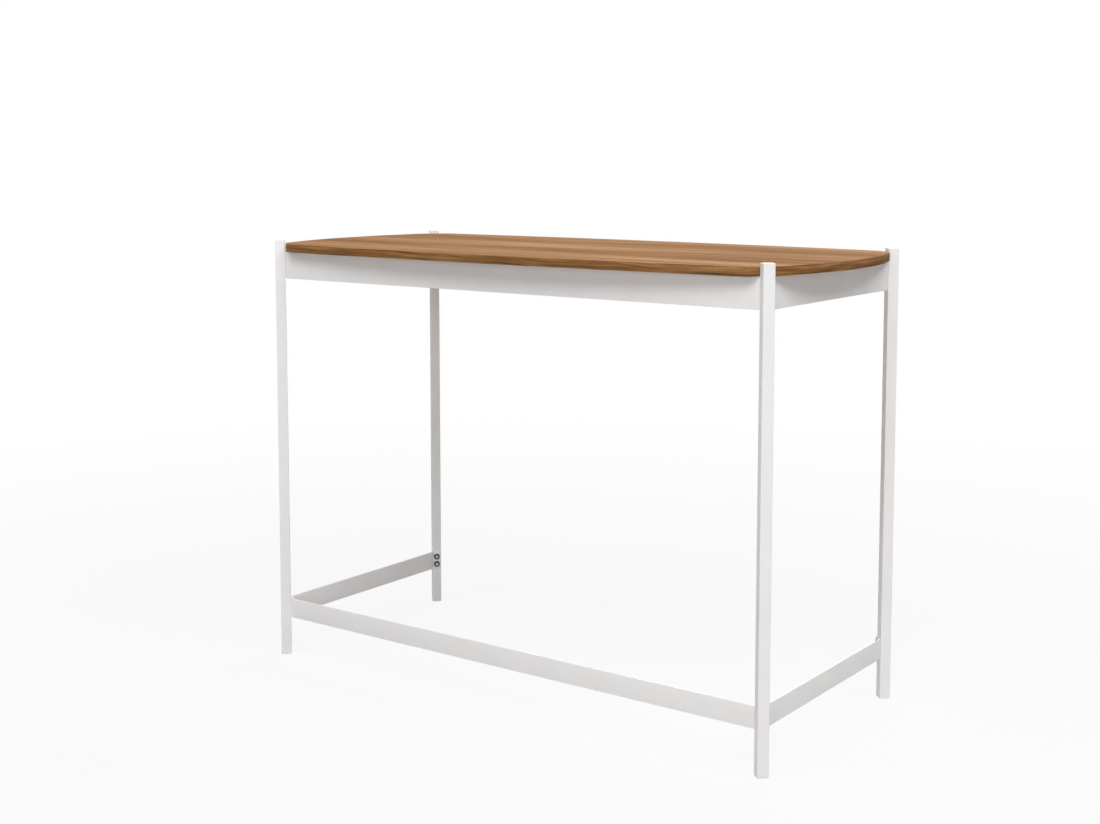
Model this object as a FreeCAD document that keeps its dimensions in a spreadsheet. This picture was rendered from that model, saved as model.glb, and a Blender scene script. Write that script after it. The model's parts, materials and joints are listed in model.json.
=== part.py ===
import FreeCAD, Part
import math
import os

import Sketcher
from FreeCAD import Placement, Rotation, Vector

# A writing desk: a laminated board with bowed edges on a bolted frame of square tubes and flat rails.
# The origin is on the floor under the middle of the desk. X runs along the desk, Y across it and Z up.
# The back (-Y) has a low stretcher, the front (+Y) is open for a person's legs, and left is -X.
# All sizes are millimetres.

SIZES = {
    # legs: square tubes turned 45 degrees, one face towards the middle of the desk
    "leg_height": 762.0,
    "leg_side": 18.0,
    "leg_corner_radius": 1.2,
    "leg_wall": 1.2,
    # plugs in the tubes: a cap on top and a glide below
    "cap_flange": 1.2,
    "cap_stem": 12.0,
    "glide_flange": 2.0,
    "glide_stem": 16.0,
    "plug_clearance": 0.1,
    "plug_wall": 1.6,
    # board: four bowed sides and a corner cut at each leg
    "top_length": 1065.0,
    "top_depth": 494.0,
    "top_thickness": 14.0,
    "leg_rise": 6.0,
    # how far a side's middle reaches past the line of the legs' centres, and how far the bow falls back
    # from there on its way to the legs
    "long_side_overhang": 33.5,
    "short_side_overhang": 38.2,
    "long_side_bow": 21.9,
    "short_side_bow": 40.7,
    "edge_band": 1.0,
    "edge_arris": 0.7,
    "notch_clearance": 0.8,
    # rails: how far their outer faces lie inside the line of the legs' centres
    "rail_inset": 0.8,
    "tab_margin": 0.8,
    "tab_clearance": 0.4,
    # aprons: folded sheet under the board
    "apron_height": 49.0,
    "apron_sheet": 1.5,
    "apron_bend": 1.5,
    "apron_flange": 20.0,
    "flange_gap": 6.0,
    # stretchers: flat bars near the floor
    "stretcher_bottom": 69.0,
    "stretcher_height": 35.0,
    "stretcher_sheet": 2.5,
    "stretcher_bend": 1.5,
    # bolts of the frame, and the threaded plates welded inside the legs
    "bolt_diameter": 6.0,
    "bolt_head_diameter": 12.0,
    "bolt_head_height": 3.3,
    "socket_across": 4.0,
    "socket_depth": 2.0,
    "bolt_hole_clearance": 0.25,
    "thread_clearance": 0.05,
    "bolt_run_out": 0.6,
    "lower_bolt_spacing": 15.3,
    "nut_plate_width": 11.0,
    "nut_plate_thickness": 5.0,
}

# Sizes that follow from the driving ones. A leg's inner face lies at 45 degrees to the rails, so the root of
# two turns distances along the rails into distances across that face, and a 45 degree bend of radius R takes
# up R * (sqrt(2) - 1) of each of its two runs.
WORKED_OUT = {
    "half_length": "top_length / 2 - short_side_overhang",
    "half_depth": "top_depth / 2 - long_side_overhang",
    "leg_bore": "leg_side - 2 * leg_wall",
    "tube_length": "leg_height - cap_flange - glide_flange",
    "plug_side": "leg_bore - 2 * plug_clearance",
    "plug_bore": "plug_side - 2 * plug_wall",
    "top_surface": "leg_height - leg_rise",
    "top_underside": "top_surface - top_thickness",
    "apron_bottom": "top_underside - apron_height",
    # board
    "long_edge_radius": "(half_length ^ 2 + long_side_bow ^ 2) / (2 * long_side_bow)",
    "short_edge_radius": "(half_depth ^ 2 + short_side_bow ^ 2) / (2 * short_side_bow)",
    "long_edge_centre": "long_edge_radius - top_depth / 2",
    "short_edge_centre": "short_edge_radius - top_length / 2",
    "long_core_radius": "long_edge_radius - edge_band",
    "short_core_radius": "short_edge_radius - edge_band",
    "leg_face_distance": "(half_length + half_depth) / sqrt(2) - leg_side / 2",
    "notch_distance": "leg_face_distance - notch_clearance",
    "core_notch_distance": "notch_distance - edge_band",
    "long_reach": "notch_distance * sqrt(2) + long_edge_centre",
    "short_reach": "notch_distance * sqrt(2) + short_edge_centre",
    "core_long_reach": "core_notch_distance * sqrt(2) + long_edge_centre",
    "core_short_reach": "core_notch_distance * sqrt(2) + short_edge_centre",
    "notch_long_x": "(long_reach - sqrt(2 * long_edge_radius ^ 2 - long_reach ^ 2)) / 2",
    "notch_short_y": "(short_reach - sqrt(2 * short_edge_radius ^ 2 - short_reach ^ 2)) / 2",
    "band_long_x": "(core_long_reach - sqrt(2 * long_edge_radius ^ 2 - core_long_reach ^ 2)) / 2",
    "band_short_y": "(core_short_reach - sqrt(2 * short_edge_radius ^ 2 - core_short_reach ^ 2)) / 2",
    "core_long_x": "(core_long_reach - sqrt(2 * long_core_radius ^ 2 - core_long_reach ^ 2)) / 2",
    "core_short_y": "(core_short_reach - sqrt(2 * short_core_radius ^ 2 - core_short_reach ^ 2)) / 2",
    "arris": "min(edge_arris; edge_band * 0.9)",
    # bent rails: where the straight run ends, and the length of the flat tab on the leg
    "tab_start": "leg_side / sqrt(2) - rail_inset",
    "apron_turn": "(sqrt(2) - 1) * (apron_bend + apron_sheet)",
    "stretcher_turn": "(sqrt(2) - 1) * (stretcher_bend + stretcher_sheet)",
    "apron_side_run": "half_depth - tab_start - apron_turn",
    "apron_long_run": "half_length - tab_start - apron_sheet * sqrt(2) - apron_turn",
    "stretcher_side_run": "half_depth - tab_start - stretcher_turn",
    "stretcher_long_run": "half_length - tab_start - stretcher_sheet * sqrt(2) - stretcher_turn",
    "apron_side_tab": "leg_side - rail_inset * sqrt(2) - apron_turn - tab_margin",
    "stretcher_side_tab": "leg_side - rail_inset * sqrt(2) - stretcher_turn - tab_margin",
    "apron_long_tab": "leg_side - 2 * (rail_inset * sqrt(2) + apron_turn) + apron_sheet - tab_clearance",
    "stretcher_long_tab":
        "leg_side - 2 * (rail_inset * sqrt(2) + stretcher_turn) + stretcher_sheet - tab_clearance",
    "rail_line_long": "half_depth - rail_inset",
    "rail_line_side": "half_length - rail_inset",
    "apron_outer_bend": "apron_bend + apron_sheet",
    "apron_flange_under": "apron_height - apron_sheet",
    "apron_long_flange": "half_length - rail_inset - apron_flange - flange_gap",
    "apron_side_flange": "half_depth - rail_inset - apron_flange - flange_gap",
    # fasteners
    "bolt_radius": "bolt_diameter / 2",
    "bolt_head_radius": "bolt_head_diameter / 2",
    "bolt_hole_radius": "bolt_radius + bolt_hole_clearance",
    "thread_radius": "bolt_radius + thread_clearance",
    "socket_corner": "socket_across / sqrt(3)",
    "upper_bolt_level": "apron_bottom + apron_height / 2",
    "lower_bolt_middle": "stretcher_bottom + stretcher_height / 2",
    "lower_bolt_level": "lower_bolt_middle + lower_bolt_spacing / 2",
    "upper_thread": "upper_bolt_level - glide_flange",
    "upper_plate_low": "upper_thread - nut_plate_width / 2",
    "upper_plate_high": "upper_thread + nut_plate_width / 2",
    "lower_thread_high": "lower_bolt_level - glide_flange",
    "lower_thread_low": "lower_thread_high - lower_bolt_spacing",
    "lower_plate_low": "lower_thread_low - nut_plate_width / 2",
    "lower_plate_high": "lower_thread_high + nut_plate_width / 2",
    "apron_hole": "apron_height / 2",
    "stretcher_hole_high": "(stretcher_height + lower_bolt_spacing) / 2",
    "stretcher_hole_low": "(stretcher_height - lower_bolt_spacing) / 2",
    "upper_stack": "2 * apron_sheet",
    "lower_back_stack": "2 * stretcher_sheet",
    "lower_front_stack": "stretcher_sheet",
    "bolt_grip": "leg_wall + nut_plate_thickness + bolt_run_out",
    "upper_shank": "upper_stack + bolt_grip",
    "lower_back_shank": "lower_back_stack + bolt_grip",
    "lower_front_shank": "lower_front_stack + bolt_grip",
}

EIGHTH_TURN = math.radians(45)
PARTS_FOLDER = "parts"

doc = FreeCAD.newDocument("desk")
sheet = doc.addObject("Spreadsheet::Sheet", "sizes")
cells = [(name, str(value)) for name, value in SIZES.items()]
cells += [(name, "=" + formula) for name, formula in WORKED_OUT.items()]
for row, (name, text) in enumerate(cells, start=1):
    sheet.set("A%d" % row, name)
    sheet.set("B%d" % row, text)
    sheet.setAlias("B%d" % row, name)
doc.recompute()

nodes = []


def size(name):
    """A size of the sheet as a number."""
    return float(getattr(sheet, name))


def tied(name):
    """A size of the sheet as an expression; a leading minus sign is kept."""
    if name.startswith("-"):
        return "-sizes." + name[1:]
    return "sizes." + name


def keep(thing, label):
    """Notes a finished sub-part under the name that its file gets."""
    thing.Label = label
    nodes.append(thing)


def new_body(name, x=None, y=None, z=None, turn=0.0):
    """A body whose origin is tied to the named sizes, turned about the vertical by so many degrees."""
    body = doc.addObject("PartDesign::Body", name)
    body.Placement = Placement(Vector(), Rotation(Vector(0, 0, 1), turn))
    for axis, expression in (("x", x), ("y", y), ("z", z)):
        if expression:
            body.setExpression("Placement.Base." + axis, expression)
    return body


class Outline:
    """A sketch on one of its body's own planes, whose dimensions are tied to the sheet."""

    def __init__(self, body, name, role):
        self.sketch = body.newObject("Sketcher::SketchObject", name)
        plane = [feature for feature in body.Origin.OriginFeatures if feature.Role == role][0]
        self.sketch.AttachmentSupport = [(plane, "")]
        self.sketch.MapMode = "FlatFace"

    def line(self, start, end):
        return self.sketch.addGeometry(Part.LineSegment(Vector(*start), Vector(*end)), False)

    def arc(self, centre, radius, first, last):
        circle = Part.Circle(Vector(*centre), Vector(0, 0, 1), radius)
        return self.sketch.addGeometry(Part.ArcOfCircle(circle, first, last), False)

    def circle(self, centre, radius):
        return self.sketch.addGeometry(Part.Circle(Vector(*centre), Vector(0, 0, 1), radius), False)

    def rule(self, kind, *places):
        self.sketch.addConstraint(Sketcher.Constraint(kind, *places))

    def dimension(self, name, kind, *places):
        """A dimension that takes its value from the named size."""
        index = self.sketch.addConstraint(Sketcher.Constraint(kind, *places, size(name)))
        label = "%s_%d" % (name, index)
        self.sketch.renameConstraint(index, label)
        self.sketch.setExpression("Constraints." + label, tied(name))

    def loop(self, edges, kind="Coincident"):
        """Joins each edge's end to the start of the next and closes the loop."""
        for edge, following in zip(edges, edges[1:] + edges[:1]):
            self.rule(kind, edge, 2, following, 1)

    def place(self, edge, point, x=None, y=None):
        """Ties a point of an edge to the origin; sizes with a minus sign lie on the negative side."""
        for kind, name in (("DistanceX", x), ("DistanceY", y)):
            if name is None:
                continue
            if name.startswith("-"):
                self.dimension(name[1:], kind, edge, point, -1, 1)
            else:
                self.dimension(name, kind, -1, 1, edge, point)

    def round_hole(self, x, y, radius):
        """A circle about a place named by sizes; None stands for the axis itself."""
        centre = [0.0, 0.0]
        for index, name in enumerate((x, y)):
            if name:
                centre[index] = -size(name[1:]) if name.startswith("-") else size(name)
        hole = self.circle(centre, size(radius))
        self.dimension(radius, "Radius", hole)
        self.place(hole, 3, x, y)
        if x is None:
            self.rule("PointOnObject", hole, 3, -2)
        if y is None:
            self.rule("PointOnObject", hole, 3, -1)

    def rounded_square(self, side, radius):
        """A square about the origin with rounded corners."""
        half = size(side) / 2
        flat = half - size(radius)
        corners = [(flat, -flat), (flat, flat), (-flat, flat), (-flat, -flat)]
        lines = [
            self.line((-flat, -half), (flat, -half)),
            self.line((half, -flat), (half, flat)),
            self.line((flat, half), (-flat, half)),
            self.line((-half, flat), (-half, -flat)),
        ]
        arcs = []
        for quarter, corner in enumerate(corners):
            first = math.radians(90 * quarter - 90)
            arcs.append(self.arc(corner, size(radius), first, first + math.radians(90)))
        self.loop([edge for pair in zip(lines, arcs) for edge in pair], "Tangent")
        for index, line in enumerate(lines):
            self.rule("Horizontal" if index % 2 == 0 else "Vertical", line)
        for arc in arcs[1:]:
            self.rule("Equal", arcs[0], arc)
        self.rule("Equal", lines[0], lines[1])
        self.rule("Symmetric", lines[0], 1, lines[2], 1, -1, 1)
        self.dimension(radius, "Radius", arcs[0])
        self.dimension(side, "DistanceX", lines[3], 1, lines[1], 1)

    def rectangle(self, width, low, high):
        """A rectangle about the vertical axis, between two levels named by sizes."""
        half = size(width) / 2
        bottom = self.line((-half, size(low)), (half, size(low)))
        right = self.line((half, size(low)), (half, size(high)))
        top = self.line((half, size(high)), (-half, size(high)))
        left = self.line((-half, size(high)), (-half, size(low)))
        self.loop([bottom, right, top, left])
        self.rule("Vertical", right)
        self.rule("Horizontal", top)
        self.rule("Vertical", left)
        self.rule("Symmetric", bottom, 1, bottom, 2, -2)
        self.dimension(width, "Distance", bottom)
        self.place(bottom, 1, y=low)
        self.place(top, 1, y=high)

    def square(self, side):
        """A square about the origin."""
        half = size(side) / 2
        corners = [(-half, -half), (half, -half), (half, half), (-half, half)]
        lines = [self.line(a, b) for a, b in zip(corners, corners[1:] + corners[:1])]
        self.loop(lines)
        for index, line in enumerate(lines):
            self.rule("Horizontal" if index % 2 == 0 else "Vertical", line)
        self.rule("Equal", lines[0], lines[1])
        self.rule("Symmetric", lines[0], 1, lines[2], 1, -1, 1)
        self.dimension(side, "Distance", lines[0])

    def hexagon(self, corner_radius):
        """A regular hexagon about the origin, one corner on the sketch's own x axis."""
        corners = []
        for index in range(6):
            angle = math.radians(60 * index)
            corners.append((size(corner_radius) * math.cos(angle), size(corner_radius) * math.sin(angle)))
        lines = [self.line(a, b) for a, b in zip(corners, corners[1:] + corners[:1])]
        self.loop(lines)
        for line in lines[1:]:
            self.rule("Equal", lines[0], line)
        guide = self.circle((0, 0), size(corner_radius))
        self.sketch.setConstruction(guide, True)
        self.rule("Coincident", guide, 3, -1, 1)
        for line in lines:
            self.rule("PointOnObject", line, 1, guide)
        self.rule("PointOnObject", lines[0], 1, -1)
        self.dimension(corner_radius, "Radius", guide)


def pad(body, outline, length, name="pad"):
    """Raises an outline by the given length."""
    feature = body.newObject("PartDesign::Pad", name)
    feature.Profile = outline.sketch
    feature.setExpression("Length", length)
    return feature


def pocket(body, outline, length, name="pocket", symmetric=True, reverse=False):
    """Cuts an outline out, half of the length to each side if symmetric; it has to take material away."""
    doc.recompute()
    before = body.Shape.Volume
    feature = body.newObject("PartDesign::Pocket", name)
    feature.Profile = outline.sketch
    feature.setExpression("Length", length)
    feature.Reversed = reverse
    if symmetric:
        feature.SideType = "Symmetric"
    doc.recompute()
    if body.Shape.Volume >= before:
        raise RuntimeError("%s of %s cuts nothing" % (name, body.Name))
    return feature


def break_edges(body, base, width, wanted, name="chamfer"):
    """Chamfers those edges of the last feature whose middle point answers the test."""
    doc.recompute()
    edges = []
    for index, edge in enumerate(base.Shape.Edges, start=1):
        middle = edge.valueAt((edge.FirstParameter + edge.LastParameter) / 2)
        if wanted(edge, middle):
            edges.append("Edge%d" % index)
    feature = body.newObject("PartDesign::Chamfer", name)
    feature.Base = (base, edges)
    feature.setExpression("Size", tied(width))
    doc.recompute()
    return feature


def same(a, b):
    return abs(a - b) < 1e-4


# Board and its edge banding


SIDES = ("back", "right", "front", "left")


def is_long(side):
    return side in ("back", "front")


def bowed_arc(outline, side, radius, half_chord):
    """One bowed side, drawn anticlockwise, its centre on an axis of the board behind the middle."""
    way = math.radians(90 * SIDES.index(side) - 90)
    distance = size("long_edge_centre" if is_long(side) else "short_edge_centre")
    centre = (-distance * math.cos(way), -distance * math.sin(way))
    spread = math.asin(size(half_chord) / size(radius))
    arc = outline.arc(centre, size(radius), way - spread, way + spread)
    outline.dimension(radius, "Radius", arc)
    return arc


def pin_centre(outline, arc, side):
    """Ties a bowed side's centre to the board's axis and to its distance from the middle."""
    if is_long(side):
        outline.rule("PointOnObject", arc, 3, -2)
        outline.place(arc, 3, y="long_edge_centre" if side == "back" else "-long_edge_centre")
    else:
        outline.rule("PointOnObject", arc, 3, -1)
        outline.place(arc, 3, x="-short_edge_centre" if side == "right" else "short_edge_centre")


def corner_line(outline, start, end, distance):
    """A line at 45 degrees whose distance from the board's middle is tied to the sheet."""
    line = outline.line(start, end)
    outline.rule("Angle", line, math.atan2(end[1] - start[1], end[0] - start[0]))
    outline.dimension(distance, "Distance", -1, 1, line)
    return line


def arc_ends(outline, arc):
    """The start and end points of an arc in its sketch."""
    start = outline.sketch.getPoint(arc, 1)
    end = outline.sketch.getPoint(arc, 2)
    return (start.x, start.y), (end.x, end.y)


def make_panel():
    """The board's core: four bowed sides, with the corners cut at 45 degrees."""
    body = new_body("desktop_panel_body", z=tied("top_underside"))
    plan = Outline(body, "panel_outline", "XY_Plane")
    arcs = []
    for side in SIDES:
        if is_long(side):
            arc = bowed_arc(plan, side, "long_core_radius", "core_long_x")
        else:
            arc = bowed_arc(plan, side, "short_core_radius", "core_short_y")
        pin_centre(plan, arc, side)
        arcs.append(arc)
    lines = []
    for arc, following in zip(arcs, arcs[1:] + arcs[:1]):
        start = arc_ends(plan, arc)[1]
        end = arc_ends(plan, following)[0]
        lines.append(corner_line(plan, start, end, "core_notch_distance"))
    plan.loop([edge for pair in zip(arcs, lines) for edge in pair])
    pad(body, plan, tied("top_thickness"))
    keep(body, "desktop_panel")


def make_edge_band(side):
    """A strip of banding on one bowed side, from corner cut to corner cut, its outer arrises broken."""
    if is_long(side):
        outer_radius, outer_chord = "long_edge_radius", "band_long_x"
        inner_radius, inner_chord = "long_core_radius", "core_long_x"
    else:
        outer_radius, outer_chord = "short_edge_radius", "band_short_y"
        inner_radius, inner_chord = "short_core_radius", "core_short_y"
    body = new_body("edge_band_%s_body" % side, z=tied("top_underside"))
    plan = Outline(body, "band_outline_" + side, "XY_Plane")
    outer = bowed_arc(plan, side, outer_radius, outer_chord)
    inner = bowed_arc(plan, side, inner_radius, inner_chord)
    pin_centre(plan, outer, side)
    plan.rule("Coincident", outer, 3, inner, 3)
    for end in (1, 2):
        start = arc_ends(plan, outer)[end - 1]
        finish = arc_ends(plan, inner)[end - 1]
        line = corner_line(plan, start, finish, "core_notch_distance")
        plan.rule("Coincident", outer, end, line, 1)
        plan.rule("Coincident", line, 2, inner, end)
    strip = pad(body, plan, tied("top_thickness"))

    def outer_arris(edge, middle):
        flat = same(middle.z, 0) or same(middle.z, size("top_thickness"))
        return flat and hasattr(edge.Curve, "Radius") and same(edge.Curve.Radius, size(outer_radius))

    break_edges(body, strip, "arris", outer_arris)
    keep(body, "edge_band_" + side)


def make_corner_bands():
    """The short strips on the four corner cuts, which also cover the ends of the side strips."""
    body = new_body("corner_band_body", z=tied("top_underside"))
    plan = Outline(body, "corner_band_outline", "XY_Plane")
    outer_diagonal = size("notch_distance") * math.sqrt(2)
    inner_diagonal = size("core_notch_distance") * math.sqrt(2)
    points = [
        (size("notch_long_x"), outer_diagonal - size("notch_long_x")),
        (size("band_long_x"), inner_diagonal - size("band_long_x")),
        (inner_diagonal - size("band_short_y"), size("band_short_y")),
        (outer_diagonal - size("notch_short_y"), size("notch_short_y")),
    ]
    long_end = plan.line(points[0], points[1])
    inner = corner_line(plan, points[1], points[2], "core_notch_distance")
    short_end = plan.line(points[2], points[3])
    outer = corner_line(plan, points[3], points[0], "notch_distance")
    plan.loop([long_end, inner, short_end, outer])
    plan.place(inner, 1, x="band_long_x")
    plan.place(inner, 2, y="band_short_y")
    plan.place(outer, 1, y="notch_short_y")
    plan.place(outer, 2, x="notch_long_x")
    strip = pad(body, plan, tied("top_thickness"))

    def outer_arris(edge, middle):
        flat = same(middle.z, 0) or same(middle.z, size("top_thickness"))
        return flat and same((middle.x + middle.y) / math.sqrt(2), size("notch_distance"))

    break_edges(body, strip, "arris", outer_arris)
    across = mirrored(body, "corner_bands_across", Vector(1, 0, 0))
    keep(mirrored(across, "corner_bands_all", Vector(0, 1, 0)), "corner_edge_bands")


# Legs and their plugs

# the signs of each leg's place along X and Y, anticlockwise from the back left
CORNERS = {
    "back_left": ("-", "-"),
    "back_right": ("", "-"),
    "front_right": ("", ""),
    "front_left": ("-", ""),
}


def leg_body(name, corner, z):
    """A body on a leg's axis, its own X axis pointing at the middle of the desk."""
    sign_x, sign_y = CORNERS[corner]
    turn = 45 + 90 * list(CORNERS).index(corner)
    return new_body(name, tied(sign_x + "half_length"), tied(sign_y + "half_depth"), z, turn)


def make_leg(corner):
    """A square tube with threaded plates welded to the inside of its inner wall, one at each joint."""
    body = leg_body("leg_%s_body" % corner, corner, tied("glide_flange"))
    section = Outline(body, "tube_section_" + corner, "XY_Plane")
    section.rounded_square("leg_side", "leg_corner_radius")
    section.square("leg_bore")
    pad(body, section, tied("tube_length"))
    plates = Outline(body, "nut_plates_" + corner, "YZ_Plane")
    plates.rectangle("nut_plate_width", "upper_plate_low", "upper_plate_high")
    plates.rectangle("nut_plate_width", "lower_plate_low", "lower_plate_high")
    plates.sketch.setExpression("AttachmentOffset.Base.z", tied("leg_bore") + " / 2")
    welded = pad(body, plates, tied("nut_plate_thickness"), "nut_plates")
    welded.Reversed = True
    threads = Outline(body, "threads_" + corner, "YZ_Plane")
    for place in ("upper_thread", "lower_thread_high", "lower_thread_low"):
        threads.round_hole(None, place, "thread_radius")
    pocket(body, threads, tied("leg_side"), "threads", symmetric=False, reverse=True)
    keep(body, "leg_" + corner)


def make_plug(corner, kind):
    """A plastic plug: a flange over the tube's end wall and a hollow stem inside the tube."""
    on_top = kind == "cap"
    level = tied("leg_height") + " - " + tied("cap_flange") if on_top else tied("glide_flange")
    body = leg_body("%s_%s_body" % (kind, corner), corner, level)
    flange = Outline(body, "%s_flange_%s" % (kind, corner), "XY_Plane")
    flange.rounded_square("leg_side", "leg_corner_radius")
    plate = pad(body, flange, tied(kind + "_flange"), "flange")
    plate.Reversed = not on_top
    stem_outline = Outline(body, "%s_stem_%s" % (kind, corner), "XY_Plane")
    stem_outline.square("plug_side")
    stem_outline.square("plug_bore")
    stem = pad(body, stem_outline, tied(kind + "_stem"), "stem")
    stem.Reversed = on_top
    keep(body, "leg_cap_" + corner if on_top else "foot_glide_" + corner)


# Rails: flat strips whose ends bend 45 degrees on to the legs' inner faces

RAIL_PLACES = {
    "back": (None, "-rail_line_long"),
    "right": ("rail_line_side", None),
    "front": (None, "rail_line_long"),
    "left": ("-rail_line_side", None),
}


def rail_body(kind, side):
    """A body on the outer face of a rail, X along the rail and Y towards the middle of the desk."""
    x, y = RAIL_PLACES[side]
    return new_body(
        "%s_%s_body" % (kind, side),
        tied(x) if x else None,
        tied(y) if y else None,
        tied(kind + "_bottom"),
        90 * SIDES.index(side),
    )


def bent_half(body, kind, side, length):
    """Half of a bent strip seen from above: the straight run, the bend and the tab on the leg.

    The bend's two arcs share a centre, so the strip keeps its thickness."""
    run_name = "%s_%s_run" % (kind, length)
    tab_name = "%s_%s_tab" % (kind, length)
    run = size(run_name)
    tab = size(tab_name)
    sheet_thickness = size(kind + "_sheet")
    bend = size(kind + "_bend")
    outer_bend = bend + sheet_thickness
    slope = math.sqrt(0.5)
    centre = (run, outer_bend)
    right = math.radians(90)
    outer_turn = (run + outer_bend * slope, outer_bend * (1 - slope))
    inner_turn = (run + bend * slope, outer_bend - bend * slope)
    outer_tip = (outer_turn[0] + tab * slope, outer_turn[1] + tab * slope)
    inner_tip = (inner_turn[0] + tab * slope, inner_turn[1] + tab * slope)
    plan = Outline(body, "%s_plan_%s" % (kind, side), "XY_Plane")
    face = plan.line((0, 0), (run, 0))
    outer_arc = plan.arc(centre, outer_bend, -right, -right + EIGHTH_TURN)
    outer_tab = plan.line(outer_turn, outer_tip)
    tip = plan.line(outer_tip, inner_tip)
    inner_tab = plan.line(inner_tip, inner_turn)
    inner_arc = plan.arc(centre, bend, -right, -right + EIGHTH_TURN)
    back = plan.line((run, sheet_thickness), (0, sheet_thickness))
    middle = plan.line((0, sheet_thickness), (0, 0))
    plan.rule("Coincident", face, 1, -1, 1)
    plan.rule("Tangent", face, 2, outer_arc, 1)
    plan.rule("Tangent", outer_arc, 2, outer_tab, 1)
    plan.rule("Coincident", outer_tab, 2, tip, 1)
    plan.rule("Coincident", tip, 2, inner_tab, 1)
    plan.rule("Tangent", inner_tab, 2, inner_arc, 2)
    plan.rule("Tangent", inner_arc, 1, back, 1)
    plan.rule("Coincident", back, 2, middle, 1)
    plan.rule("Coincident", middle, 2, face, 1)
    plan.rule("Coincident", outer_arc, 3, inner_arc, 3)
    plan.rule("Horizontal", face)
    plan.rule("Horizontal", back)
    plan.rule("Vertical", middle)
    plan.rule("Parallel", outer_tab, inner_tab)
    plan.rule("Perpendicular", outer_tab, tip)
    plan.rule("Angle", outer_tab, EIGHTH_TURN)
    plan.dimension(run_name, "Distance", face)
    plan.dimension(tab_name, "Distance", outer_tab)
    plan.dimension(kind + "_sheet", "Distance", middle)
    plan.dimension(kind + "_bend", "Radius", inner_arc)
    return pad(body, plan, tied(kind + "_height"), "strip")


def tab_holes(body, kind, side, length, levels):
    """Bolt holes square through the tab, on the middle line of the leg's inner face."""
    drill = Outline(body, "%s_drill_%s" % (kind, side), "XZ_Plane")
    for level in levels:
        drill.round_hole(None, level, "bolt_hole_radius")
    drill.sketch.AttachmentOffset = Placement(Vector(), Rotation(Vector(0, 1, 0), 45.0))
    leg_axis = "half_length" if length == "long" else "half_depth"
    drill.sketch.setExpression("AttachmentOffset.Base.x", tied(leg_axis))
    drill.sketch.setExpression("AttachmentOffset.Base.z", tied("rail_inset"))
    return pocket(body, drill, "2 * " + tied("leg_side"), "bolt_holes")


def mirror_half(body, features):
    """The other half of a rail, mirrored across its middle."""
    whole = body.newObject("PartDesign::Mirrored", "mirrored")
    whole.Originals = features
    plane = [feature for feature in body.Origin.OriginFeatures if feature.Role == "YZ_Plane"][0]
    whole.MirrorPlane = (plane, [""])
    body.Tip = whole
    doc.recompute()


def make_stretcher(side):
    """A flat bar with a bent tab at each end."""
    length = "long" if is_long(side) else "side"
    body = rail_body("stretcher", side)
    strip = bent_half(body, "stretcher", side, length)
    holes = tab_holes(body, "stretcher", side, length, ["stretcher_hole_high", "stretcher_hole_low"])
    mirror_half(body, [strip, holes])
    keep(body, "stretcher_" + side)


def make_apron(side):
    """A folded rail: a web with bent tabs and, between the corners, a flange under the board."""
    length = "long" if is_long(side) else "side"
    flange_length = "apron_%s_flange" % length
    body = rail_body("apron", side)
    web = bent_half(body, "apron", side, length)
    flange_section = Outline(body, "flange_section_" + side, "YZ_Plane")
    fold_flange(flange_section)
    flange = pad(body, flange_section, tied(flange_length), "flange")
    relief_section = Outline(body, "fold_section_" + side, "YZ_Plane")
    fold_outside(relief_section)
    fold = pocket(body, relief_section, tied(flange_length), "fold", symmetric=False, reverse=True)
    holes = tab_holes(body, "apron", side, length, ["apron_hole"])
    mirror_half(body, [web, flange, fold, holes])
    keep(body, "apron_" + side)


def fold_flange(outline):
    """The flange's section with the hollow round of the fold under it."""
    thickness = size("apron_sheet")
    width = size("apron_flange")
    top = size("apron_height")
    under = top - thickness
    bend = size("apron_bend")
    right = math.radians(90)
    upper = outline.line((width, top), (thickness, top))
    wall = outline.line((thickness, top), (thickness, under - bend))
    hollow = outline.arc((thickness + bend, under - bend), bend, right, 2 * right)
    lower = outline.line((thickness + bend, under), (width, under))
    edge = outline.line((width, under), (width, top))
    outline.rule("Coincident", upper, 2, wall, 1)
    outline.rule("Tangent", wall, 2, hollow, 2)
    outline.rule("Tangent", hollow, 1, lower, 1)
    outline.rule("Coincident", lower, 2, edge, 1)
    outline.rule("Coincident", edge, 2, upper, 1)
    outline.rule("Horizontal", upper)
    outline.rule("Horizontal", lower)
    outline.rule("Vertical", wall)
    outline.rule("Vertical", edge)
    outline.dimension("apron_bend", "Radius", hollow)
    outline.dimension("apron_sheet", "Distance", edge)
    outline.place(upper, 1, "apron_flange", "apron_height")
    outline.place(wall, 1, "apron_sheet")


def fold_outside(outline):
    """What the fold's outer round takes away from the web's square upper edge."""
    outer = size("apron_outer_bend")
    top = size("apron_height")
    right = math.radians(90)
    side = outline.line((0, top - outer), (0, top))
    upper = outline.line((0, top), (outer, top))
    round_edge = outline.arc((outer, top - outer), outer, right, 2 * right)
    outline.rule("Coincident", side, 2, upper, 1)
    outline.rule("Tangent", upper, 2, round_edge, 1)
    outline.rule("Tangent", round_edge, 2, side, 1)
    outline.rule("Horizontal", upper)
    outline.rule("Vertical", side)
    outline.rule("PointOnObject", side, 1, -2)
    outline.dimension("apron_outer_bend", "Radius", round_edge)
    outline.place(side, 2, y="apron_height")


# Fasteners


def mirrored(source, name, normal, base=None):
    """A source with its mirror image across a plane; base ties the plane's height to the sheet."""
    image = doc.addObject("Part::Mirroring", name + "_image")
    image.Source = source
    image.Normal = normal
    if base:
        image.setExpression("Base.z", tied(base))
    pair = doc.addObject("Part::Compound", name)
    pair.Links = [source, image]
    return pair


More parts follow.
